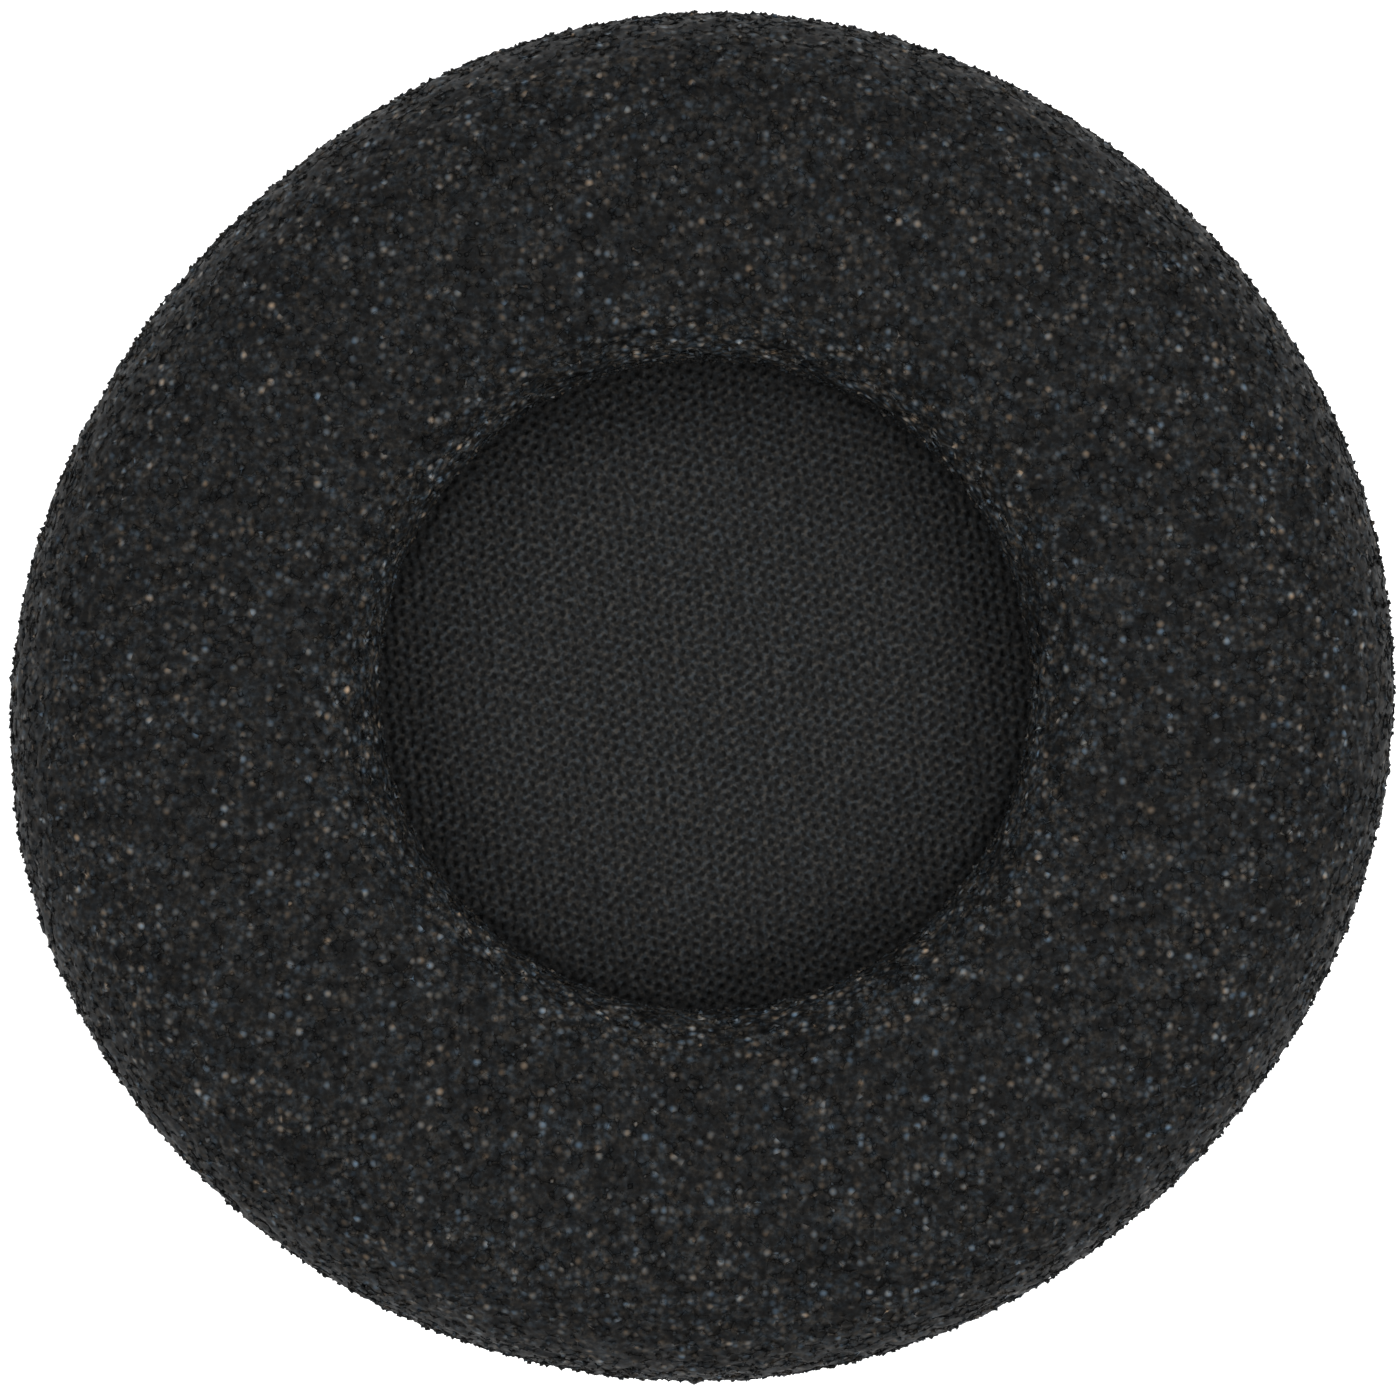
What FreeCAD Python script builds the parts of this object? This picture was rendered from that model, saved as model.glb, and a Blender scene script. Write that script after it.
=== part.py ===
"""Foam ear cushion for an on-ear headphone or headset, in millimetres.

The cushion lies on its back, +Z is the side that meets the ear, and the origin is the centre of the
bottom. It is five bonded pieces, all turned about Z: a thick front ring of open-cell foam, a thin back
lip of the same foam that stretches over the speaker housing, the welded seam that joins the two at the
rim, a disc of knitted speaker cloth behind the ring's opening, and the ring of adhesive that holds it.
"""

import FreeCAD, Part
import math
import os

# Outer size
PAD_DIAMETER = 60.0
PAD_HEIGHT = 15.0

# Front ring
OPENING_DIAMETER = 28.0
RING_BACK_Z = 7.2
CROWN_INNER_RADIUS = 4.2
CROWN_OUTER_RADIUS = 7.2
RING_INSET = 0.2
WALL_UNDERCUT = 0.8
PINCH_START_RADIUS = 25.0

# Rim seam, a bead where the foam is melted together
SEAM_SECTION_RADIUS = 0.5
SEAM_Z = 6.1
SEAM_HALF_WIDTH = 0.9

# Back lip
LIP_OPENING_DIAMETER = 39.0
LIP_THICKNESS = 2.0
LIP_EDGE_ROUND = 0.5
LIP_FLAT_RADIUS = 22.0
LIP_BULGE = 1.1

# Speaker cloth and its adhesive
CLOTH_RADIUS = 16.8
CLOTH_THICKNESS = 0.35
ADHESIVE_THICKNESS = 0.15
ADHESIVE_INNER_RADIUS = 15.0
ADHESIVE_OUTER_RADIUS = 16.6

PAD_RADIUS = PAD_DIAMETER / 2
OPENING_RADIUS = OPENING_DIAMETER / 2
LIP_OPENING_RADIUS = LIP_OPENING_DIAMETER / 2
FOAM_RADIUS = PAD_RADIUS - RING_INSET
SEAM_RADIUS = PAD_RADIUS - SEAM_SECTION_RADIUS
SEAM_OUTER_RADIUS = SEAM_RADIUS + SEAM_SECTION_RADIUS / 10
SEAM_INNER_RADIUS = SEAM_RADIUS - SEAM_HALF_WIDTH
CLOTH_TOP_Z = RING_BACK_Z - ADHESIVE_THICKNESS


def at(r, z):
    """The point of a section at radius r and height z."""
    return FreeCAD.Vector(r, 0, z)


def line(start, end):
    return Part.LineSegment(at(*start), at(*end)).toShape()


def arc(start, through, end):
    return Part.Arc(at(*start), at(*through), at(*end)).toShape()


def on_circle(centre, radius, degrees):
    """The point of a circle in the section, with 0 degrees outwards and 90 degrees up."""
    angle = math.radians(degrees)
    return (centre[0] + radius * math.cos(angle), centre[1] + radius * math.sin(angle))


def bulged(start, end, bulge):
    """The point that stands bulge to the right of the middle of the line from start to end."""
    run = (end[0] - start[0], end[1] - start[1])
    length = math.hypot(*run)
    middle = ((start[0] + end[0]) / 2, (start[1] + end[1]) / 2)
    return (middle[0] + bulge * run[1] / length, middle[1] - bulge * run[0] / length)


def turned(edges):
    """The solid that a closed section makes when it is turned once about Z."""
    face = Part.Face(Part.Wire(edges))
    return face.revolve(at(0, 0), FreeCAD.Vector(0, 0, 1), 360)


def disc_ring(inner_radius, outer_radius, bottom_z, thickness):
    """A flat ring, or a disc where inner_radius is 0."""
    outer = Part.makeCylinder(outer_radius, thickness, at(0, bottom_z))
    if inner_radius == 0:
        return outer
    return outer.cut(Part.makeCylinder(inner_radius, thickness, at(0, bottom_z)))


def rim_seam():
    return Part.makeTorus(SEAM_RADIUS, SEAM_SECTION_RADIUS, at(0, SEAM_Z), FreeCAD.Vector(0, 0, 1))


def front_ring():
    """A crowned ring: its inner wall leans under the crown, and its outer side rolls down to the seam."""
    inner_centre = (OPENING_RADIUS + CROWN_INNER_RADIUS, PAD_HEIGHT - CROWN_INNER_RADIUS)
    outer_centre = (FOAM_RADIUS - CROWN_OUTER_RADIUS, PAD_HEIGHT - CROWN_OUTER_RADIUS)
    wall_top = on_circle(inner_centre, CROWN_INNER_RADIUS, 180)
    crown_start = on_circle(inner_centre, CROWN_INNER_RADIUS, 90)
    crown_end = on_circle(outer_centre, CROWN_OUTER_RADIUS, 90)
    side_top = on_circle(outer_centre, CROWN_OUTER_RADIUS, 0)

    wall_foot = (OPENING_RADIUS + WALL_UNDERCUT, RING_BACK_Z)
    drop = wall_top[1] - wall_foot[1]
    wall_radius = (drop**2 + WALL_UNDERCUT**2) / (2 * WALL_UNDERCUT)
    wall_centre = (OPENING_RADIUS + wall_radius, wall_top[1])
    wall_turn = math.degrees(math.asin(drop / wall_radius))
    wall_middle = on_circle(wall_centre, wall_radius, 180 + wall_turn / 2)

    side_foot = (SEAM_OUTER_RADIUS, SEAM_Z)
    pinch_foot = (SEAM_INNER_RADIUS, SEAM_Z)
    pinch_start = (PINCH_START_RADIUS, RING_BACK_Z)
    ring = turned(
        [
            arc(wall_foot, wall_middle, wall_top),
            arc(wall_top, on_circle(inner_centre, CROWN_INNER_RADIUS, 135), crown_start),
            line(crown_start, crown_end),
            arc(crown_end, on_circle(outer_centre, CROWN_OUTER_RADIUS, 45), side_top),
            line(side_top, side_foot),
            line(side_foot, pinch_foot),
            line(pinch_foot, pinch_start),
            line(pinch_start, wall_foot),
        ]
    )
    return ring.cut(rim_seam())


def back_lip():
    """A thin skirt from the seam, in under the pad, to the stretch opening that it lies on."""
    rounded = LIP_OPENING_RADIUS + LIP_EDGE_ROUND
    corner = LIP_EDGE_ROUND * (1 - math.sqrt(0.5))
    top_corner = (LIP_OPENING_RADIUS + corner, LIP_THICKNESS - corner)
    bottom_corner = (LIP_OPENING_RADIUS + corner, corner)
    outer_top = (SEAM_OUTER_RADIUS, SEAM_Z)
    inner_top = (SEAM_INNER_RADIUS, SEAM_Z)
    outer_foot = (LIP_FLAT_RADIUS, 0)
    inner_foot = (LIP_FLAT_RADIUS, LIP_THICKNESS)
    lip = turned(
        [
            line(inner_top, outer_top),
            arc(outer_top, bulged(outer_foot, outer_top, LIP_BULGE), outer_foot),
            line(outer_foot, (rounded, 0)),
            arc((rounded, 0), bottom_corner, (LIP_OPENING_RADIUS, LIP_EDGE_ROUND)),
            line(
                (LIP_OPENING_RADIUS, LIP_EDGE_ROUND),
                (LIP_OPENING_RADIUS, LIP_THICKNESS - LIP_EDGE_ROUND),
            ),
            arc(
                (LIP_OPENING_RADIUS, LIP_THICKNESS - LIP_EDGE_ROUND),
                top_corner,
                (rounded, LIP_THICKNESS),
            ),
            line((rounded, LIP_THICKNESS), inner_foot),
            arc(inner_foot, bulged(inner_foot, inner_top, LIP_BULGE), inner_top),
        ]
    )
    return lip.cut(rim_seam())


def speaker_cloth():
    return disc_ring(0, CLOTH_RADIUS, CLOTH_TOP_Z - CLOTH_THICKNESS, CLOTH_THICKNESS)


def cloth_adhesive():
    return disc_ring(ADHESIVE_INNER_RADIUS, ADHESIVE_OUTER_RADIUS, CLOTH_TOP_Z, ADHESIVE_THICKNESS)


NODES = {
    "front_foam_ring": front_ring,
    "back_foam_lip": back_lip,
    "rim_weld_seam": rim_seam,
    "speaker_cloth_disc": speaker_cloth,
    "cloth_adhesive_ring": cloth_adhesive,
}

os.makedirs("parts", exist_ok=True)
for name, make in NODES.items():
    shape = make()
    if not shape.isValid() or len(shape.Solids) != 1:
        raise SystemExit(f"{name} is not one valid solid")
    shape.exportStep(f"parts/{name}.step")
    box = shape.BoundBox
    print(f"{name}: {shape.Volume:.1f} mm3, z {box.ZMin:.2f} to {box.ZMax:.2f}, width {box.XLength:.2f}")
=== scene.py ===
"""Looks of the foam ear cushion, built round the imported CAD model.

Lengths are in millimetres until a mesh is made, which turns them into metres. Each foam piece is a closed
body with lumps in its surface, and a random net of thin struts and knots half sunk into it. The cloth is a
knitted surface with its own wales and courses. All random draws are seeded.
"""

import math

import bpy
import numpy as np
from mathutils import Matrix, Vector, noise
from mathutils.geometry import delaunay_2d_cdt


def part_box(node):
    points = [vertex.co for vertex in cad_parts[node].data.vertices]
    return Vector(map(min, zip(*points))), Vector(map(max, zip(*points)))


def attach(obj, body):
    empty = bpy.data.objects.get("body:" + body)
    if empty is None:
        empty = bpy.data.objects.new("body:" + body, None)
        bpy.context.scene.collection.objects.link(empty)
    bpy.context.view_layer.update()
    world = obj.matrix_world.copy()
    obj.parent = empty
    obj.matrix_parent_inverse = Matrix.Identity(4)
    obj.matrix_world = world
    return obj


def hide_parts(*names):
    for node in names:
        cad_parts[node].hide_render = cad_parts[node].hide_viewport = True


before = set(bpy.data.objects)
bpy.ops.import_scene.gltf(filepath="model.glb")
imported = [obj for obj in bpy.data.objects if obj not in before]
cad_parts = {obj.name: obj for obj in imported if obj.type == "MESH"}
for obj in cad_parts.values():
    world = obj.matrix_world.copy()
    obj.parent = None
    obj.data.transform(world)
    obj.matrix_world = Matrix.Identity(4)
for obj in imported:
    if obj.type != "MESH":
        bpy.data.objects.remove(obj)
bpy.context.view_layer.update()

MM = 0.001


def node_points(name):
    """The points of a CAD node, in millimetres."""
    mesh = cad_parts[name].data
    points = np.zeros(len(mesh.vertices) * 3)
    mesh.vertices.foreach_get("co", points)
    return points.reshape(-1, 3) / MM


def node_radii(name):
    """The smallest and the largest radius of a CAD node about Z."""
    points = node_points(name)
    radii = np.hypot(points[:, 0], points[:, 1])
    return float(radii.min()), float(radii.max())


# Sizes that the CAD model gives
RING_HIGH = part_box("front_foam_ring")[1].z / MM
SEAM_LOW, SEAM_HIGH = (corner.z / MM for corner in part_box("rim_weld_seam"))
CLOTH_LOW, CLOTH_HIGH = (corner.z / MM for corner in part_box("speaker_cloth_disc"))
ADHESIVE_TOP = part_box("cloth_adhesive_ring")[1].z / MM
OPENING_RADIUS, FOAM_RADIUS = node_radii("front_foam_ring")
LIP_OPENING_RADIUS = node_radii("back_foam_lip")[0]
SEAM_INSIDE, PAD_RADIUS = node_radii("rim_weld_seam")
CLOTH_RADIUS = node_radii("speaker_cloth_disc")[1]
SEAM_Z = (SEAM_LOW + SEAM_HIGH) / 2
SEAM_SECTION_RADIUS = (SEAM_HIGH - SEAM_LOW) / 2
SEAM_RADIUS = PAD_RADIUS - SEAM_SECTION_RADIUS

# Rounding of the foam's section
CROWN_INNER_RADIUS = 4.2
CROWN_OUTER_RADIUS = 7.2
WALL_UNDERCUT = 0.8
FOOT_WIDTH = 1.0
LIP_THICKNESS = 2.0
LIP_EDGE_ROUND = 0.5
LIP_FLAT_RADIUS = 22.0
LIP_BULGE = 1.1
PINCH_START_RADIUS = 25.0

# How the soft cushion departs from a true round: waves round the rim, share of the radius, first crest
RIM_WAVES = ((1, 0.0039, -72), (2, 0.0144, 34), (3, 0.0047, -34), (4, 0.0054, 5.5))
OPENING_SHIFT = (0.13, 0.57)
SHIFT_HEIGHT = 3.0
CROWN_UNEVENNESS = 0.22
WIDE_SWELL_LENGTH = 11.0
FINE_SWELL_LENGTH = 4.5
DENT_DEPTH = 0.09
DENT_LENGTH = 3.1
DENT_SLOPE = 2.2
DENT_RARITY = 0.9
DENT_BAND = 0.1

# The foam's body: how far it lies under the true surface, its lumps, and the spacing of its points
SKIN_DEPTH = 0.11
BACK_DEPTH = 0.05
PINCH_LENGTH = 3.5
WIDE_RELIEF = 0.13
WIDE_LUMP = 0.75
FINE_RELIEF = 0.08
FINE_LUMP = 0.36
SKIN_COLUMNS = 760
SKIN_STEP = 0.25
LIP_STEP = 0.3
BACK_STEP = 1.0

# The foam's net of cells. The depths under the surface are pairs of a share of the section and a depth. The
# spreads are the least and the most that a size is multiplied by.
CELL = 0.60
LIP_CELL = 0.75
CELL_JITTER = 0.32
STRUT_RADIUS = 0.035
STRUT_SPREAD = (0.7, 1.4)
KNOT_RADIUS = 0.105
KNOT_SPREAD = (0.6, 1.5)
KNOT_STRETCH = (0.8, 1.25)
NET_RELIEF = 0.20
RING_NET_DEPTH = ((0.52, 0.05), (0.70, 0.03))
LIP_NET_DEPTH = ((0.0, 0.02), (1.0, 0.02))
SIDE_START = 0.58

# Bead of the melted rim: thickness and lumps as shares of its section's radius, how far it wanders up and
# down in millimetres, and the lengths of the lumps and of the wandering
WELD_THICKNESS = 0.60
WELD_WIDE_LUMPS = (0.30, 1.1)
WELD_FINE_LUMPS = (0.5, 0.32)
WELD_WANDER = (0.18, 2.5)
WELD_COLUMNS = 1100
WELD_ROWS = 12

# Knitted cloth: one step across a wale, and one step along it over two courses. Its heights are shares of the
# relief, and the lumps of the yarn are a height and a length.
WALE_STEP = (0.478, -0.159)
COURSE_STEP = (-0.081, 0.956)
KNIT_SAMPLES = (6, 9)
KNIT_DRIFT = 0.12
KNIT_DRIFT_LENGTH = 2.5
KNIT_RELIEF = 0.20
LOOP_SWAY = 0.13
YARN_SWAY = 0.25
YARN_RELIEF = 0.20
HOLE_DEPTH = 0.75
YARN_LEVEL = 0.70
WIDE_YARN_LUMPS = (0.30, 0.32)
FINE_YARN_LUMPS = (0.20, 0.16)
HEIGHT_LIMITS = (-0.3, 1.3)
VISIBLE_CLOTH_RADIUS = 14.9
MARGIN_STEP = 0.45
MARGIN_GAP = 0.1
RIM_GAP = 0.2
RIM_POINTS = 360

FOAM_SEED = 11
LIP_SEED = 23


# ---------------------------------------------------------------- meshes


def mesh_object(name, points, faces, material):
    """A piece from points in millimetres, none below the floor, riding on the part's one body."""
    points = np.array(points)
    points[:, 2] = np.maximum(points[:, 2], 0)
    mesh = bpy.data.meshes.new(name)
    mesh.from_pydata((points * MM).tolist(), [], faces)
    mesh.update()
    mesh.shade_smooth()
    mesh.materials.append(material)
    piece = bpy.data.objects.new(name, mesh)
    bpy.context.scene.collection.objects.link(piece)
    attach(piece, "root")
    return piece


def grid_faces(rows, columns):
    """Quads of a grid that closes on itself both ways, as a ring's surface does."""
    row = np.arange(rows)[:, None]
    column = np.arange(columns)[None, :]
    above, right = (row + 1) % rows, (column + 1) % columns
    here, beyond = row * columns, above * columns
    corners = [here + column, here + right, beyond + right, beyond + column]
    quads = np.stack([np.broadcast_to(corner, (rows, columns)) for corner in corners], axis=-1)
    return quads.reshape(-1, 4).tolist()


def noise_at(points, size, seed):
    """Smooth noise from about -1 to 1 at each point, with lumps about size millimetres wide."""
    shift = Vector((seed, 2.7 * seed, -1.3 * seed))
    return np.array([noise.noise(Vector(p) / size + shift) for p in points])


# ---------------------------------------------------------------- sections


def arc(centre, radius, start, end, count=24):
    """Points of an arc between two angles in degrees."""
    angles = np.radians(np.linspace(start, end, count))
    return [(centre[0] + radius * math.cos(a), centre[1] + radius * math.sin(a)) for a in angles]


def bowed(start, end, bulge, count=24):
    """A curve from start to end that stands bulge to the right of the straight line at its middle."""
    (r0, z0), (r1, z1) = start, end
    length = math.hypot(r1 - r0, z1 - z0)
    side = ((z1 - z0) / length, -(r1 - r0) / length)
    points = []
    for t in np.linspace(0, 1, count):
        out = 4 * bulge * t * (1 - t)
        points.append((r0 + t * (r1 - r0) + out * side[0], z0 + t * (z1 - z0) + out * side[1]))
    return points


class Section:
    """A section that is turned about Z, as a path of radius and height with the foam on its right."""

    def __init__(self, path):
        path = np.array(path, float)
        step = np.hypot(*np.diff(path, axis=0).T)
        keep = np.concatenate([[True], step > 1e-6])
        path = path[keep]
        self.at = np.concatenate([[0], np.cumsum(np.hypot(*np.diff(path, axis=0).T))])
        self.length = float(self.at[-1])
        self.r, self.z = path.T
        run = np.gradient(path, self.at, axis=0)
        run /= np.linalg.norm(run, axis=1)[:, None]
        self.normal_r, self.normal_z = -run[:, 1], run[:, 0]

    def radius(self, s):
        """The radius at the distance s along the section."""
        return np.interp(s, self.at, self.r)

    def place(self, s, angle, lift):
        """Points at the distance s along the section and an angle round Z, lifted off the surface."""
        r = self.radius(s) + lift * np.interp(s, self.at, self.normal_r)
        z = np.interp(s, self.at, self.z) + lift * np.interp(s, self.at, self.normal_z)
        return np.stack([r * np.cos(angle), r * np.sin(angle), z], axis=-1)


def ring_skin_path():
    """The front ring's open surface: up its inner wall, over the crown and down its side to the seam."""
    inner_centre = (OPENING_RADIUS + CROWN_INNER_RADIUS, RING_HIGH - CROWN_INNER_RADIUS)
    outer_centre = (FOAM_RADIUS - CROWN_OUTER_RADIUS, RING_HIGH - CROWN_OUTER_RADIUS)
    drop = inner_centre[1] - ADHESIVE_TOP
    wall_radius = (drop**2 + WALL_UNDERCUT**2) / (2 * WALL_UNDERCUT)
    wall_turn = math.degrees(math.asin(drop / wall_radius))
    wall_centre = (OPENING_RADIUS + wall_radius, inner_centre[1])
    return (
        arc(wall_centre, wall_radius, 180 + wall_turn, 180)
        + arc(inner_centre, CROWN_INNER_RADIUS, 180, 90)
        + arc(outer_centre, CROWN_OUTER_RADIUS, 90, 0)
        + [(SEAM_RADIUS + SEAM_SECTION_RADIUS / 10, SEAM_Z)]
    )


def ring_back_path():
    """The front ring's back, from the seam in to the foot of its inner wall, which meets the cloth."""
    foot = OPENING_RADIUS + WALL_UNDERCUT
    outer = [(SEAM_INSIDE, SEAM_Z), (PINCH_START_RADIUS, ADHESIVE_TOP)]
    return outer + [(foot + FOOT_WIDTH, ADHESIVE_TOP), (foot, CLOTH_HIGH)]


def lip_skin_path():
    """The lip's outside, from the seam down under the pad, round the opening's edge and back over its top."""
    low = (LIP_OPENING_RADIUS + LIP_EDGE_ROUND, LIP_EDGE_ROUND)
    high = (LIP_OPENING_RADIUS + LIP_EDGE_ROUND, LIP_THICKNESS - LIP_EDGE_ROUND)
    return (
        bowed((LIP_FLAT_RADIUS, 0), (SEAM_RADIUS, SEAM_Z), LIP_BULGE)[::-1]
        + arc(low, LIP_EDGE_ROUND, 270, 180, 8)
        + arc(high, LIP_EDGE_ROUND, 180, 90, 8)
        + bowed((LIP_FLAT_RADIUS, LIP_THICKNESS), (SEAM_INSIDE, SEAM_Z), LIP_BULGE)
    )


def eased(x):
    """0 up to 0 and 1 from 1 on, with a smooth way between."""
    x = np.clip(x, 0, 1)
    return x * x * (3 - 2 * x)


def relaxed(points):
    """Moves points of the true round model to where the soft cushion has them."""
    x, y, z = np.array(points, float).T
    r, angle = np.hypot(x, y), np.arctan2(y, x)
    rim = eased((r - OPENING_RADIUS) / (PAD_RADIUS - OPENING_RADIUS))
    wave = sum(share * np.cos(count * (angle - math.radians(crest))) for count, share, crest in RIM_WAVES)
    place = np.stack([np.cos(angle) * r, np.sin(angle) * r, np.zeros_like(r)], axis=-1)
    dents = np.minimum(noise_at(place, DENT_LENGTH, 3.0) * DENT_SLOPE + DENT_RARITY, 0) * DENT_DEPTH
    edge = eased((r - (1 - DENT_BAND) * PAD_RADIUS) / (DENT_BAND * PAD_RADIUS))
    grow = 1 + rim * wave + edge * dents / PAD_RADIUS
    high = eased((z - ADHESIVE_TOP) / (RING_HIGH - ADHESIVE_TOP))
    swell = noise_at(place, WIDE_SWELL_LENGTH, 8.0) + 0.5 * noise_at(place, FINE_SWELL_LENGTH, 1.0)
    out = np.stack([x * grow, y * grow, z + high * swell * CROWN_UNEVENNESS], axis=-1)
    leaning = (1 - rim) * eased((z - ADHESIVE_TOP) / SHIFT_HEIGHT)
    out[:, :2] += leaning[:, None] * np.array(OPENING_SHIFT)
    return out


# ---------------------------------------------------------------- foam


def scattered_cells(section, cell, rng):
    """The centres of the cells as (s, angle): rows round the surface, each centre moved at random."""
    rows = max(3, round(section.length / (cell * math.sqrt(3) / 2)))
    s, angle = [], []
    for centre in np.linspace(0, section.length, rows):
        count = max(12, round(2 * math.pi * section.radius(centre) / cell))
        place = np.arange(count) + rng.random() + rng.uniform(-CELL_JITTER, CELL_JITTER, count)
        shift = rng.uniform(-CELL_JITTER, CELL_JITTER, count) * cell
        s.append(np.clip(centre + shift, 0, section.length))
        angle.append(place * 2 * math.pi / count % (2 * math.pi))
    return np.concatenate(s), np.concatenate(angle)


def cell_net(section, cell, rng):
    """A random net of cells over a turned surface: its knots as (s, angle), and the pairs that struts join.

    Cell centres are scattered at an even spacing. The knots are the middles of the triangles between
    them, so three struts meet at each knot, as on the surface of real foam.
    """
    s, angle = scattered_cells(section, cell, rng)
    fine = np.linspace(0, section.length, 400)
    stretch = np.concatenate([[0], np.cumsum(np.diff(fine) / section.radius((fine[1:] + fine[:-1]) / 2))])
    flat = np.interp(s, fine, stretch)
    wrap = 0.25  # the angle that the flat net is repeated over, so that it closes round the ring
    low, high = np.nonzero(angle < wrap)[0], np.nonzero(angle > 2 * math.pi - wrap)[0]
    index = np.concatenate([np.arange(len(s)), low, high])
    shown = np.concatenate([angle, angle[low] + 2 * math.pi, angle[high] - 2 * math.pi])
    points = [Vector(p) for p in zip(shown.tolist(), flat[index].tolist())]
    result = delaunay_2d_cdt(points, [], [], 0, 1e-9)
    origin = [sources[0] if sources else -1 for sources in result[3]]
    knots, by_edge, known = [], {}, set()
    for face in result[2]:
        corners = [origin[v] for v in face]
        if len(corners) != 3 or min(corners) < 0:
            continue
        middle = float(shown[corners].mean())
        cells = tuple(sorted(int(index[c]) for c in corners))
        if not 0 <= middle < 2 * math.pi or cells in known:
            continue
        known.add(cells)
        knot = len(knots)
        knots.append((float(s[list(cells)].mean()), middle))
        for pair in ((cells[0], cells[1]), (cells[1], cells[2]), (cells[0], cells[2])):
            by_edge.setdefault(pair, []).append(knot)
    pairs = [found for found in by_edge.values() if len(found) == 2]
    return np.array(knots), np.array(pairs)


def unit(vectors):
    """Each vector at a length of 1."""
    return vectors / np.maximum(np.linalg.norm(vectors, axis=1), 1e-9)[:, None]


def struts(a, b, radius, rng):
    """Closed three-sided struts between the points a and b, and their faces."""
    along = unit(b - a)
    side = unit(np.cross(along, unit(rng.normal(size=a.shape))))
    other = np.cross(along, side)
    corners = []
    for end in (a, b):
        for turn in (0, 120, 240):
            c, d = math.cos(math.radians(turn)), math.sin(math.radians(turn))
            corners.append(end + (c * side + d * other) * radius[:, None])
    points = np.stack(corners, axis=1).reshape(-1, 3)
    first = np.arange(len(a))[:, None] * 6
    walls = ((0, 1, 4, 3), (1, 2, 5, 4), (2, 0, 3, 5))
    ends = ((2, 1, 0), (3, 4, 5))
    faces = np.concatenate([first + np.array(wall) for wall in walls]).tolist()
    faces += np.concatenate([first + np.array(end) for end in ends]).tolist()
    return points, faces


def knots_mesh(centres, radius, rng):
    """A small eight-sided lump at each centre, turned and stretched at random."""
    axes = unit(rng.normal(size=centres.shape))
    second = unit(np.cross(axes, unit(rng.normal(size=centres.shape))))
    third = np.cross(axes, second)
    reach = []
    for way in (axes, second, third):
        reach.append(way * radius[:, None] * rng.uniform(*KNOT_STRETCH, (len(centres), 1)))
    tips = [centres + sign * way for way in reach for sign in (1, -1)]
    points = np.stack(tips, axis=1).reshape(-1, 3)
    corners = [(0, 2, 4), (2, 1, 4), (1, 3, 4), (3, 0, 4), (2, 0, 5), (1, 2, 5), (3, 1, 5), (0, 3, 5)]
    first = np.arange(len(centres))[:, None] * 6
    return points, np.concatenate([first + np.array(c) for c in corners]).tolist()


class Net:
    """One net of cells on a turned surface: where its knots are, and the pairs of knots that struts join.

    It lies under the surface by the depths, pairs of a share of the section and a depth, and each knot up
    to relief deeper.
    """

    def __init__(self, section, cell, depths, relief, rng):
        self.rng = rng
        self.knots, self.pairs = cell_net(section, cell, rng)
        share, depth = zip(*depths)
        lift = -np.interp(self.knots[:, 0] / section.length, share, depth)
        lift -= relief * rng.random(len(self.knots)) ** 1.2
        self.places = relaxed(section.place(*self.knots.T, lift))

    def struts(self, radius, low=0.0, high=math.inf):
        """The struts whose first knot lies between low and high along the section."""
        s = self.knots[self.pairs[:, 0], 0]
        a, b = self.pairs[(s >= low) & (s < high)].T
        thickness = radius * self.rng.uniform(*STRUT_SPREAD, len(a))
        return struts(self.places[a], self.places[b], thickness, self.rng)

    def lumps(self, radius):
        """The lumps where struts meet."""
        sizes = radius * self.rng.uniform(*KNOT_SPREAD, len(self.places))
        return knots_mesh(self.places, sizes, self.rng)


def skin(path, depth, step, seed, pinch=0.0):
    """The points of a lumpy turned skin sunk under the section's surface, and its rows.

    Towards a seam the foam is pinched thin, so there the skin rises to the surface over the length pinch.
    """
    section = Section(path)
    rows = max(4, round(section.length / step))
    turns = np.arange(SKIN_COLUMNS) * 2 * math.pi / SKIN_COLUMNS
    s, angle = (g.ravel() for g in np.meshgrid(np.linspace(0, section.length, rows), turns, indexing="ij"))
    flat = section.place(s, angle, 0.0)
    lumps = WIDE_RELIEF * noise_at(flat, WIDE_LUMP, seed) + FINE_RELIEF * noise_at(flat, FINE_LUMP, seed + 7)
    sunk = eased((SEAM_RADIUS - section.radius(s)) / pinch) if pinch else 1.0
    return section.place(s, angle, lumps - depth * sunk), rows


def foam_ring(materials):
    """The thick front ring: its body, and its net in three pieces."""
    foam = materials["foam"]
    path = ring_skin_path()
    front, front_rows = skin(path, SKIN_DEPTH, SKIN_STEP, 1.0)
    back, back_rows = skin(ring_back_path(), BACK_DEPTH, BACK_STEP, 1.0)
    faces = grid_faces(front_rows + back_rows, SKIN_COLUMNS)
    body = mesh_object("front_foam_body", relaxed(np.concatenate([front, back])), faces, foam)
    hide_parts("front_foam_ring")

    section = Section(path)
    net = Net(section, CELL, RING_NET_DEPTH, NET_RELIEF, np.random.default_rng(FOAM_SEED))
    side = SIDE_START * section.length
    crown_struts = mesh_object("front_foam_crown_struts", *net.struts(STRUT_RADIUS, high=side), foam)
    side_struts = mesh_object("front_foam_side_struts", *net.struts(STRUT_RADIUS, low=side), foam)
    knots = mesh_object("front_foam_knots", *net.lumps(KNOT_RADIUS), foam)


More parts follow.
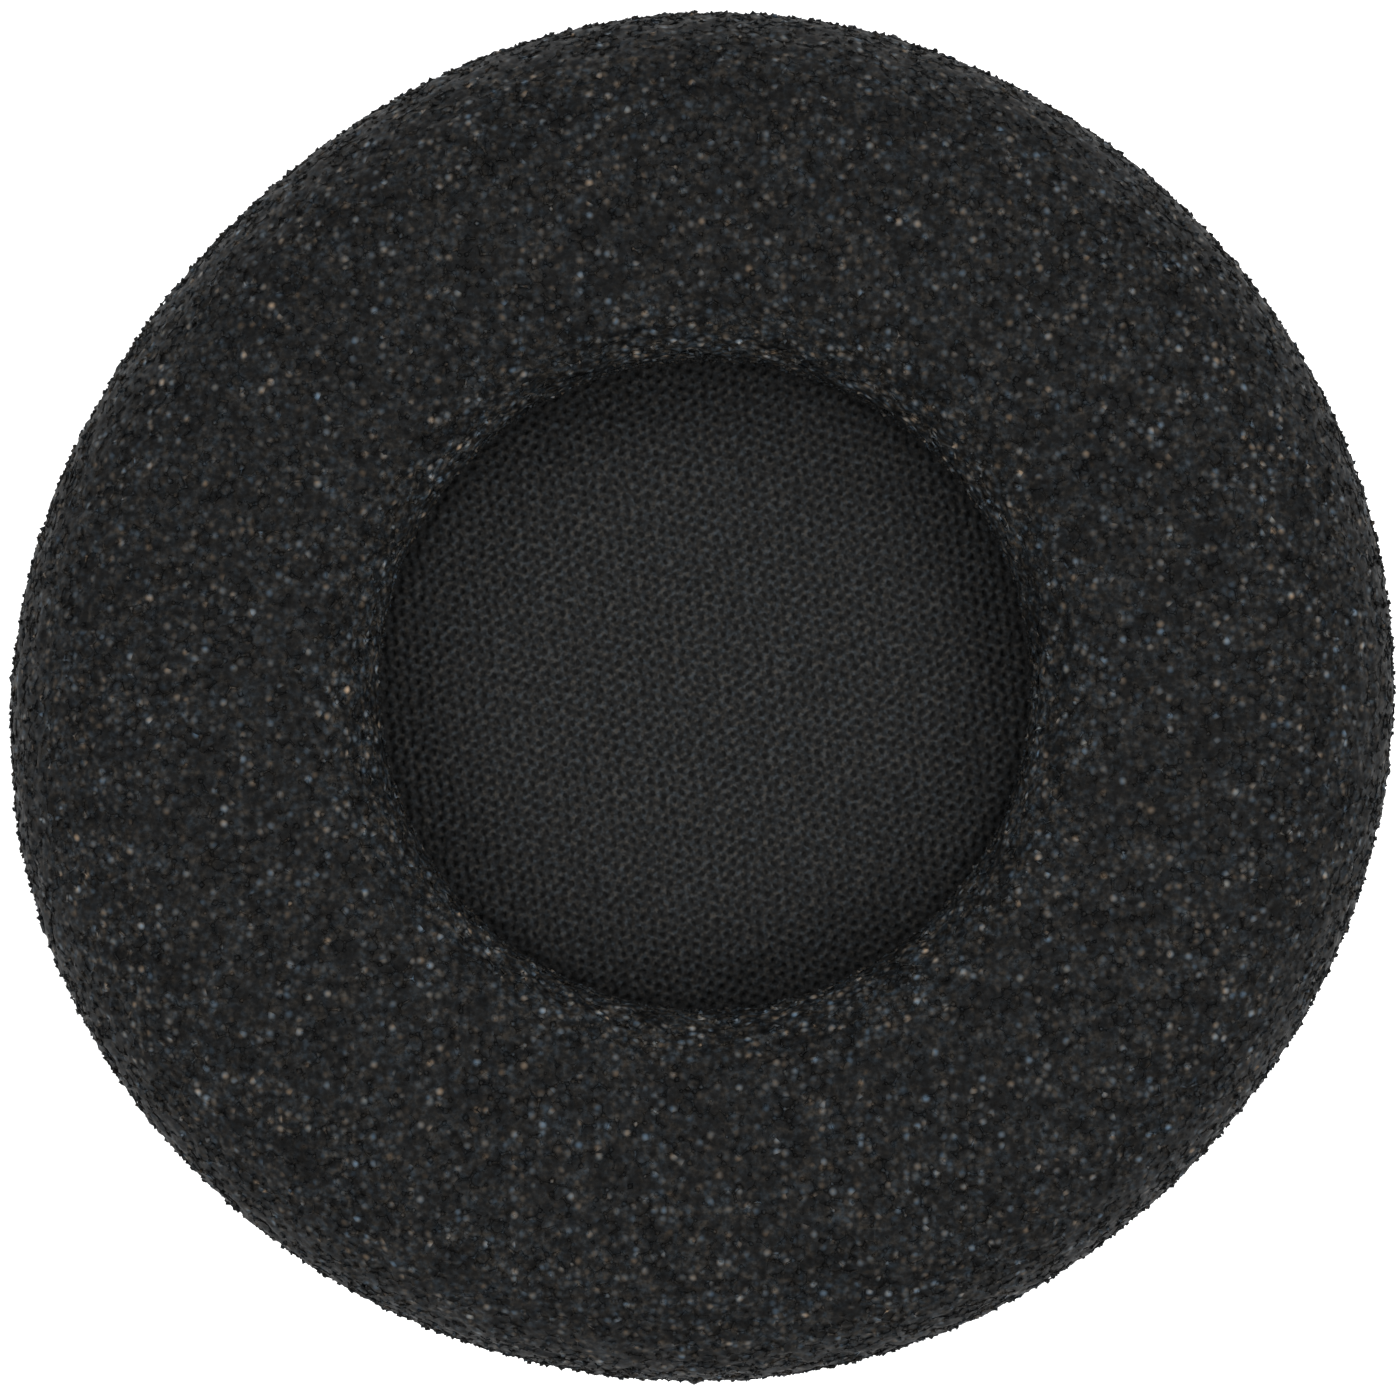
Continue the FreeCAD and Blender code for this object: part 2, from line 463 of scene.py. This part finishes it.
def foam_lip(materials):
    """The thin back lip: its body, pinched thin at the seam, and its net in two pieces."""
    foam = materials["foam"]
    path = lip_skin_path()
    points, rows = skin(path, SKIN_DEPTH, LIP_STEP, 5.0, PINCH_LENGTH)
    body = mesh_object("back_lip_body", relaxed(points), grid_faces(rows, SKIN_COLUMNS), foam)
    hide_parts("back_foam_lip")

    net = Net(Section(path), LIP_CELL, LIP_NET_DEPTH, NET_RELIEF, np.random.default_rng(LIP_SEED))
    web = mesh_object("back_lip_struts", *net.struts(STRUT_RADIUS), foam)
    knots = mesh_object("back_lip_knots", *net.lumps(KNOT_RADIUS), foam)


def weld_seam(materials):
    """The fused bead round the rim, lumpy and nicked where the foam was melted and cut."""
    round_rim = np.arange(WELD_COLUMNS) * 2 * math.pi / WELD_COLUMNS
    round_bead = np.arange(WELD_ROWS) * 2 * math.pi / WELD_ROWS
    angle, turn = (g.ravel() for g in np.meshgrid(round_rim, round_bead, indexing="xy"))
    middle = np.stack([SEAM_RADIUS * np.cos(angle), SEAM_RADIUS * np.sin(angle), 0 * angle], axis=-1)
    bead = middle + 0.5 * np.stack([np.cos(turn), 0 * angle, np.sin(turn)], axis=-1)
    wide, wide_length = WELD_WIDE_LUMPS
    fine, fine_length = WELD_FINE_LUMPS
    wander, wander_length = WELD_WANDER
    lumps = wide * noise_at(middle, wide_length, 4.0) + fine * noise_at(bead, fine_length, 9.0)
    thick = SEAM_SECTION_RADIUS * (WELD_THICKNESS + lumps)
    r = SEAM_RADIUS + thick * np.cos(turn)
    z = SEAM_Z + thick * np.sin(turn) + wander * noise_at(middle, wander_length, 6.0)
    points = relaxed(np.stack([r * np.cos(angle), r * np.sin(angle), z], axis=-1))
    seam = mesh_object("rim_weld_bead", points, grid_faces(WELD_ROWS, WELD_COLUMNS), materials["fused"])
    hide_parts("rim_weld_seam")


# ---------------------------------------------------------------- cloth


def knit_height(p, q):
    """Height of the knit, from 0 in its holes to 0.9, at p wales across and q double courses along."""
    wale = p + LOOP_SWAY * np.sin(2 * math.pi * q)
    beside = 0.5 - 0.5 * np.cos(2 * math.pi * wale)
    between = 0.5 - 0.5 * np.cos(4 * math.pi * q)
    hole = beside**3 * between**1.5
    yarn = 0.5 + 0.5 * np.cos(2 * math.pi * (wale + YARN_SWAY * np.sin(4 * math.pi * q)))
    return YARN_LEVEL + YARN_RELIEF * yarn - HOLE_DEPTH * hole


def cloth_face(points, rim):
    """The triangles of a round sheet over scattered flat points and a rim that are numbered together."""
    flat = [Vector((x, y)) for x, y in np.concatenate([points, rim])[:, :2].tolist()]
    result = delaunay_2d_cdt(flat, [], [], 0, 1e-9)
    origin = [sources[0] for sources in result[3]]
    return [[origin[v] for v in face] for face in result[2]]


def around(radius, count):
    """Flat points evenly round a circle."""
    angle = np.arange(count) * 2 * math.pi / count
    return np.stack([radius * np.cos(angle), radius * np.sin(angle)], axis=-1)


def spiral(inner, outer, step):
    """Points of a sunflower pattern between two radii, about step apart."""
    area = step**2 * math.sqrt(3) / 2
    number = np.arange(math.ceil(math.pi * inner**2 / area), math.floor(math.pi * outer**2 / area))
    r = np.sqrt(number * area / math.pi)
    angle = number * math.pi * (3 - math.sqrt(5))
    return np.stack([r * np.cos(angle), r * np.sin(angle)], axis=-1)


def knit_lattice():
    """Where the knit is sampled, several times in each loop."""
    across, along = KNIT_SAMPLES
    reach = int(2.2 * VISIBLE_CLOTH_RADIUS)
    p = np.arange(-reach * across, reach * across + 1) / across
    q = np.arange(-reach * along, reach * along + 1) / along
    p, q = (g.ravel() for g in np.meshgrid(p, q, indexing="ij"))
    place = p[:, None] * np.array(WALE_STEP) + q[:, None] * np.array(COURSE_STEP)
    return place[np.hypot(*place.T) < VISIBLE_CLOTH_RADIUS]


def knit_steps(points):
    """How many wales and double courses along each point is, drifting a little as a real knit does."""
    flat = points * np.array([1, 1, 0])
    drift = np.stack([noise_at(flat, KNIT_DRIFT_LENGTH, seed) for seed in (1.0, 2.0)], axis=-1)
    return points[:, :2] @ np.linalg.inv([WALE_STEP, COURSE_STEP]) + KNIT_DRIFT * drift


def at_height(flat, z):
    """Flat points with their height, or one height for all."""
    return np.column_stack([flat, 0 * flat[:, 0] + z])


def cloth_surfaces():
    """The points of the cloth's top, its back and its rim."""
    knit = knit_lattice()
    place = at_height(knit, 0.0)
    wide, wide_length = WIDE_YARN_LUMPS
    fine, fine_length = FINE_YARN_LUMPS
    loops = noise_at(place, wide_length, 3.0) * wide + noise_at(place, fine_length, 4.0) * fine
    height = np.clip(knit_height(*knit_steps(place).T) + loops, *HEIGHT_LIMITS)
    margin = spiral(VISIBLE_CLOTH_RADIUS + MARGIN_GAP, CLOTH_RADIUS - RIM_GAP, MARGIN_STEP)
    margin_z = CLOTH_HIGH - KNIT_RELIEF
    knit_z = CLOTH_HIGH - KNIT_RELIEF * (1 - height)
    top = np.concatenate([at_height(knit, knit_z), at_height(margin, margin_z)])
    back = at_height(spiral(0.0, CLOTH_RADIUS - RIM_GAP, MARGIN_STEP), CLOTH_LOW)
    rim = at_height(around(CLOTH_RADIUS, RIM_POINTS), (CLOTH_LOW + margin_z) / 2)
    return top, back, rim


def speaker_cloth(materials):
    """The knitted disc: loops in relief where it shows, a plain margin under the foam and a plain back."""
    top, back, rim = cloth_surfaces()
    rim_numbers = len(top) + len(back) + np.arange(len(rim))
    top_numbers = np.concatenate([np.arange(len(top)), rim_numbers])
    back_numbers = np.concatenate([len(top) + np.arange(len(back)), rim_numbers])
    faces = top_numbers[np.array(cloth_face(top, rim))].tolist()
    faces += back_numbers[np.array(cloth_face(back, rim))[:, ::-1]].tolist()
    points = np.concatenate([top, back, rim])
    cloth = mesh_object("speaker_cloth", points, faces, materials["cloth"])
    for name, steps in zip(("wale", "course"), knit_steps(points).T):
        cloth.data.attributes.new(name, "FLOAT", "POINT").data.foreach_set("value", steps)
    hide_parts("speaker_cloth_disc")


# ---------------------------------------------------------------- materials


def new_material(name):
    material = bpy.data.materials.new(name)
    material.use_nodes = True
    tree = material.node_tree
    tree.nodes.clear()
    out = tree.nodes.new("ShaderNodeOutputMaterial")
    shader = tree.nodes.new("ShaderNodeBsdfPrincipled")
    tree.links.new(shader.outputs[0], out.inputs["Surface"])
    return material, tree, shader


def coordinates(tree):
    return tree.nodes.new("ShaderNodeTexCoord").outputs["Object"]


def noise_node(tree, size_mm, detail=2.0, roughness=0.5):
    """Noise whose lumps are about size_mm wide."""
    node = tree.nodes.new("ShaderNodeTexNoise")
    tree.links.new(coordinates(tree), node.inputs["Vector"])
    node.inputs["Scale"].default_value = 1 / (size_mm * MM)
    node.inputs["Detail"].default_value = detail
    node.inputs["Roughness"].default_value = roughness
    return node.outputs["Fac"]


def ramp(tree, value, stops, between="LINEAR"):
    """A colour ramp: stops are (position, colour)."""
    node = tree.nodes.new("ShaderNodeValToRGB")
    node.color_ramp.interpolation = between
    tree.links.new(value, node.inputs["Fac"])
    elements = node.color_ramp.elements
    while len(elements) < len(stops):
        elements.new(0.5)
    for element, (position, colour) in zip(elements, stops):
        element.position = position
        element.color = (*colour, 1.0)
    return node.outputs["Color"]


def grey(value):
    return (value, value, value)


def cool(value):
    """Black foam's own colour: a grey that leans very slightly to blue-green."""
    return (value * 0.96, value * 1.0, value * 1.01)


def bump(tree, shader, height, strength, distance_mm):
    node = tree.nodes.new("ShaderNodeBump")
    node.inputs["Strength"].default_value = strength
    node.inputs["Distance"].default_value = distance_mm * MM
    tree.links.new(height, node.inputs["Height"])
    tree.links.new(node.outputs["Normal"], shader.inputs["Normal"])


def spots(tree, size_mm, reach, strength):
    """Soft round spots, one in each cell of size_mm, and three random greys for each cell.

    Each spot fades out at the distance reach from its cell's middle, as a share of the cell's size. How
    strong it is comes from the ramp strength, over the first of the random greys.
    """
    node = tree.nodes.new("ShaderNodeTexVoronoi")
    tree.links.new(coordinates(tree), node.inputs["Vector"])
    node.inputs["Scale"].default_value = 1 / (size_mm * MM)
    split = tree.nodes.new("ShaderNodeSeparateColor")
    tree.links.new(node.outputs["Color"], split.inputs["Color"])
    shape = ramp(tree, node.outputs["Distance"], [(0.0, grey(1.0)), (reach, grey(0.0))], "EASE")
    return multiplied(tree, shape, ramp(tree, split.outputs[0], strength)), split.outputs


# Foam painted by share of the pad's radius: painted shade down the wall, painted light on its edge and at the
# rim
FOAM_PAINTED_LIGHT = (
    (0.455, grey(0.6)),
    (0.466, grey(1.3)),
    (0.478, grey(2.3)),
    (0.51, grey(1.45)),
    (0.58, grey(0.81)),
    (0.72, grey(0.79)),
    (0.84, grey(0.91)),
    (0.94, grey(1.20)),
    (1.0, grey(1.15)),
)


def foam_material():
    """Charcoal open-cell foam: a mottled ground, painted shade in its pores and soft, slightly tinted painted
    glints.
    """
    material, tree, shader = new_material("open_cell_foam")
    mottle = [(0.34, cool(0.0006)), (0.5, cool(0.0028)), (0.68, cool(0.0095))]
    ground = ramp(tree, noise_node(tree, 0.30, 3.0, 0.6), mottle)
    patches = ramp(tree, noise_node(tree, 1.5, 3.0, 0.6), [(0.32, grey(0.45)), (0.68, grey(1.55))])
    # painted glints: small painted highlights in the base colour where the foam's knots would catch the light
    brightness = [(0.15, grey(0.0)), (0.6, grey(0.012)), (0.88, grey(0.029)), (1.0, grey(0.062))]
    painted_glints, chance = spots(tree, 0.40, 0.58, brightness)
    tint = ramp(tree, chance[1], [(0.15, (0.80, 0.97, 1.13)), (0.5, grey(1.0)), (0.85, (1.14, 0.98, 0.82))])
    hue = ramp(tree, noise_node(tree, 0.34, 2.0), [(0.35, (0.76, 0.99, 1.20)), (0.65, (1.22, 1.0, 0.78))])
    # painted shade: dark spots in the base colour that stand in for the shade inside the foam's open cells
    pore_spots, _ = spots(tree, 0.66, 0.50, [(0.30, grey(0.0)), (0.85, grey(1.0))])
    grain = added(tree, ground, multiplied(tree, painted_glints, tint))
    lit = multiplied(tree, grain, multiplied(tree, patches, hue))
    # painted shade in the pores
    painted_pore_shade = ramp(tree, pore_spots, [(0.0, grey(1.0)), (0.9, grey(0.02))])
    # painted light and shade: darker down the opening's wall, lighter on its edge and at the rim
    painted_light = ramp(tree, maths(tree, "DIVIDE", distance_from_opening(tree), PAD_RADIUS), FOAM_PAINTED_LIGHT)
    tree.links.new(multiplied(tree, multiplied(tree, lit, painted_light), painted_pore_shade), shader.inputs["Base Color"])
    gloss = ramp(tree, noise_node(tree, 0.35), [(0.3, grey(0.55)), (0.7, grey(0.85))])
    tree.links.new(gloss, shader.inputs["Roughness"])
    shader.inputs["Specular IOR Level"].default_value = 0.06
    bump(tree, shader, noise_node(tree, 0.3, 2.0), 0.5, 0.06)
    return material


def attribute(tree, name):
    """A number that the mesh carries at each point."""
    node = tree.nodes.new("ShaderNodeAttribute")
    node.attribute_name = name
    return node.outputs["Fac"]


def maths(tree, operation, *values):
    """One step of arithmetic on sockets and plain numbers."""
    node = tree.nodes.new("ShaderNodeMath")
    node.operation = operation
    for socket, value in zip(node.inputs, values):
        if isinstance(value, (int, float)):
            socket.default_value = value
        else:
            tree.links.new(value, socket)
    return node.outputs["Value"]


def wave(tree, steps, turns=1.0):
    """From 0 to 1 and back for each whole step, starting from 0."""
    turned = maths(tree, "COSINE", maths(tree, "MULTIPLY", steps, 2 * math.pi * turns))
    return maths(tree, "MULTIPLY_ADD", turned, -0.5, 0.5)


def knit_holes(tree):
    """1 in the holes between the loops and 0 on the yarn, by the mesh's formula with softer edges."""
    course = attribute(tree, "course")
    sway = maths(tree, "SINE", maths(tree, "MULTIPLY", course, 2 * math.pi))
    wale = maths(tree, "MULTIPLY_ADD", sway, LOOP_SWAY, attribute(tree, "wale"))
    beside = maths(tree, "POWER", wave(tree, wale), 2.5)
    between = maths(tree, "POWER", wave(tree, course, 2.0), 1.2)
    return maths(tree, "MULTIPLY", beside, between)


def distance_from_opening(tree):
    """How far a point is from the middle of the opening, in millimetres."""
    flat = tree.nodes.new("ShaderNodeVectorMath")
    flat.operation = "MULTIPLY_ADD"
    flat.inputs[1].default_value = (1 / MM, 1 / MM, 0)
    flat.inputs[2].default_value = (-OPENING_SHIFT[0], -OPENING_SHIFT[1], 0)
    tree.links.new(coordinates(tree), flat.inputs[0])
    length = tree.nodes.new("ShaderNodeVectorMath")
    length.operation = "LENGTH"
    tree.links.new(flat.outputs["Vector"], length.inputs[0])
    return length.outputs["Value"]


def blended(tree, how, a, b):
    """Two colours put together in full by one of the mix node's ways."""
    node = tree.nodes.new("ShaderNodeMix")
    node.data_type = "RGBA"
    node.blend_type = how
    node.inputs["Factor"].default_value = 1.0
    tree.links.new(a, node.inputs["A"])
    tree.links.new(b, node.inputs["B"])
    return node.outputs["Result"]


def multiplied(tree, a, b):
    return blended(tree, "MULTIPLY", a, b)


def added(tree, a, b):
    return blended(tree, "ADD", a, b)


def cloth_material():
    """Black polyester knit: loops with painted light at random, painted shade in its holes and at its margin.
    """
    material, tree, shader = new_material("knitted_cloth")
    # painted light: loops painted lighter or darker at random, standing in for the light each one catches
    loops = noise_node(tree, 0.26, 3.0, 0.6)
    yarn = ramp(tree, loops, [(0.36, cool(0.0018)), (0.5, cool(0.0054)), (0.64, cool(0.0155))])
    # painted shade: the knit's holes are painted nearly black, standing in for the shade behind them
    painted_hole_shade = ramp(tree, knit_holes(tree), [(0.12, grey(1.0)), (0.70, grey(0.07))])
    slant = maths(tree, "MULTIPLY_ADD", attribute(tree, "course"), -2.0, attribute(tree, "wale"))
    floats = ramp(tree, wave(tree, slant), [(0.0, grey(0.64)), (0.8, grey(1.0))])
    # painted shade: the cloth is painted darker towards the foam's wall, most of all in a thin band at the
    # opening's edge
    edge = maths(tree, "DIVIDE", distance_from_opening(tree), OPENING_RADIUS)
    shade = [(0.2, grey(1.0)), (0.7, grey(0.94)), (0.85, grey(0.97)), (0.96, grey(0.90)), (1.0, grey(0.38))]
    margin = ramp(tree, edge, shade)
    tone = multiplied(tree, multiplied(tree, yarn, floats), multiplied(tree, painted_hole_shade, margin))
    sheen = ramp(tree, noise_node(tree, 0.24, 2.0), [(0.35, (0.82, 0.99, 1.14)), (0.65, (1.16, 1.0, 0.84))])
    tree.links.new(multiplied(tree, tone, sheen), shader.inputs["Base Color"])
    gloss = ramp(tree, noise_node(tree, 0.2), [(0.3, grey(0.6)), (0.7, grey(0.85))])
    tree.links.new(gloss, shader.inputs["Roughness"])
    shader.inputs["Specular IOR Level"].default_value = 0.08
    bump(tree, shader, noise_node(tree, 0.10, 3.0), 0.6, 0.05)
    return material


def fused_material():
    """Foam melted to a dense bead: darker and glossier than the foam, with a pitted face."""
    material, tree, shader = new_material("fused_foam")
    tone = ramp(tree, noise_node(tree, 0.3, 3.0), [(0.35, cool(0.003)), (0.65, cool(0.011))])
    tree.links.new(tone, shader.inputs["Base Color"])
    gloss = ramp(tree, noise_node(tree, 0.3), [(0.3, grey(0.5)), (0.7, grey(0.8))])
    tree.links.new(gloss, shader.inputs["Roughness"])
    shader.inputs["Specular IOR Level"].default_value = 0.12
    bump(tree, shader, noise_node(tree, 0.18, 3.0), 0.8, 0.10)
    return material


def adhesive_material():
    """Web adhesive: a fine web of pale threads, melted flat between the foam and the cloth."""
    material, tree, shader = new_material("web_adhesive")
    tone = ramp(tree, noise_node(tree, 0.25, 4.0), [(0.42, (0.40, 0.385, 0.345)), (0.66, (0.62, 0.60, 0.54))])
    tree.links.new(tone, shader.inputs["Base Color"])
    gloss = ramp(tree, noise_node(tree, 0.4), [(0.3, grey(0.45)), (0.7, grey(0.7))])
    tree.links.new(gloss, shader.inputs["Roughness"])
    shader.inputs["Specular IOR Level"].default_value = 0.15
    bump(tree, shader, noise_node(tree, 0.3, 3.0), 0.5, 0.05)
    return material


def floor_material():
    material, tree, shader = new_material("studio_floor")
    tone = ramp(tree, noise_node(tree, 40.0), [(0.3, grey(0.86)), (0.7, grey(0.88))])
    tree.links.new(tone, shader.inputs["Base Color"])
    shader.inputs["Roughness"].default_value = 0.9
    shader.inputs["Specular IOR Level"].default_value = 0.1
    return material


# ---------------------------------------------------------------- studio

# The camera looks straight down, in millimetres, and the pad nearly fills its picture
PAD_SHARE_OF_PICTURE = 0.98143
CAMERA_DISTANCE = 400.0
CAMERA_OFFSET = (-0.09, -0.11)
SENSOR = 36.0

# Lights and floor, in metres, degrees and watts: the direction and the power of each soft box
SOFTBOXES = ((60, 6.0), (150, 5.0), (240, 5.0), (330, 6.0))
SOFTBOX_RISE = 52.0
SOFTBOX_DISTANCE = 0.8
SOFTBOX_SIZE = 0.35
WORLD_STRENGTH = 0.6
FLOOR_REACH = 3.0


def camera():
    data = bpy.data.cameras.new("camera")
    data.sensor_width = SENSOR
    data.lens = SENSOR * CAMERA_DISTANCE * PAD_SHARE_OF_PICTURE / (2 * PAD_RADIUS)
    data.clip_start = 0.01
    data.clip_end = 20.0
    eye = bpy.data.objects.new("camera", data)
    eye.location = Vector((*CAMERA_OFFSET, SEAM_Z + CAMERA_DISTANCE)) * MM
    bpy.context.scene.collection.objects.link(eye)
    bpy.context.scene.camera = eye


def softbox(number, turn, watts):
    """A round soft light that points at the pad."""
    angle, rise = math.radians(turn), math.radians(SOFTBOX_RISE)
    way = Vector((math.cos(angle) * math.cos(rise), math.sin(angle) * math.cos(rise), math.sin(rise)))
    data = bpy.data.lights.new(f"softbox_{number}", "AREA")
    data.shape = "DISK"
    data.size = SOFTBOX_SIZE
    data.energy = watts
    lamp = bpy.data.objects.new(f"softbox_{number}", data)
    lamp.location = way * SOFTBOX_DISTANCE
    lamp.rotation_euler = (-way).to_track_quat("-Z", "Y").to_euler()
    bpy.context.scene.collection.objects.link(lamp)


def floor():
    """The pale floor that the pad lies on."""
    corners = [(x * FLOOR_REACH, y * FLOOR_REACH, 0) for x, y in ((-1, -1), (1, -1), (1, 1), (-1, 1))]
    mesh = bpy.data.meshes.new("floor")
    mesh.from_pydata(corners, [], [(0, 1, 2, 3)])
    mesh.materials.append(floor_material())
    piece = bpy.data.objects.new("floor", mesh)
    bpy.context.scene.collection.objects.link(piece)


def studio():
    floor()
    for number, (turn, watts) in enumerate(SOFTBOXES):
        softbox(number, turn, watts)
    world = bpy.data.worlds.new("studio")
    world.use_nodes = True
    background = world.node_tree.nodes["Background"]
    background.inputs["Color"].default_value = (0.95, 0.97, 1.0, 1)
    background.inputs["Strength"].default_value = WORLD_STRENGTH
    bpy.context.scene.world = world
    bpy.context.scene.view_settings.view_transform = "Standard"


def build():
    materials = {
        "foam": foam_material(),
        "cloth": cloth_material(),
        "fused": fused_material(),
        "adhesive": adhesive_material(),
    }
    foam_ring(materials)
    foam_lip(materials)
    weld_seam(materials)
    speaker_cloth(materials)
    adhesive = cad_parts["cloth_adhesive_ring"].data
    adhesive.materials.clear()
    adhesive.materials.append(materials["adhesive"])


build()
camera()
studio()
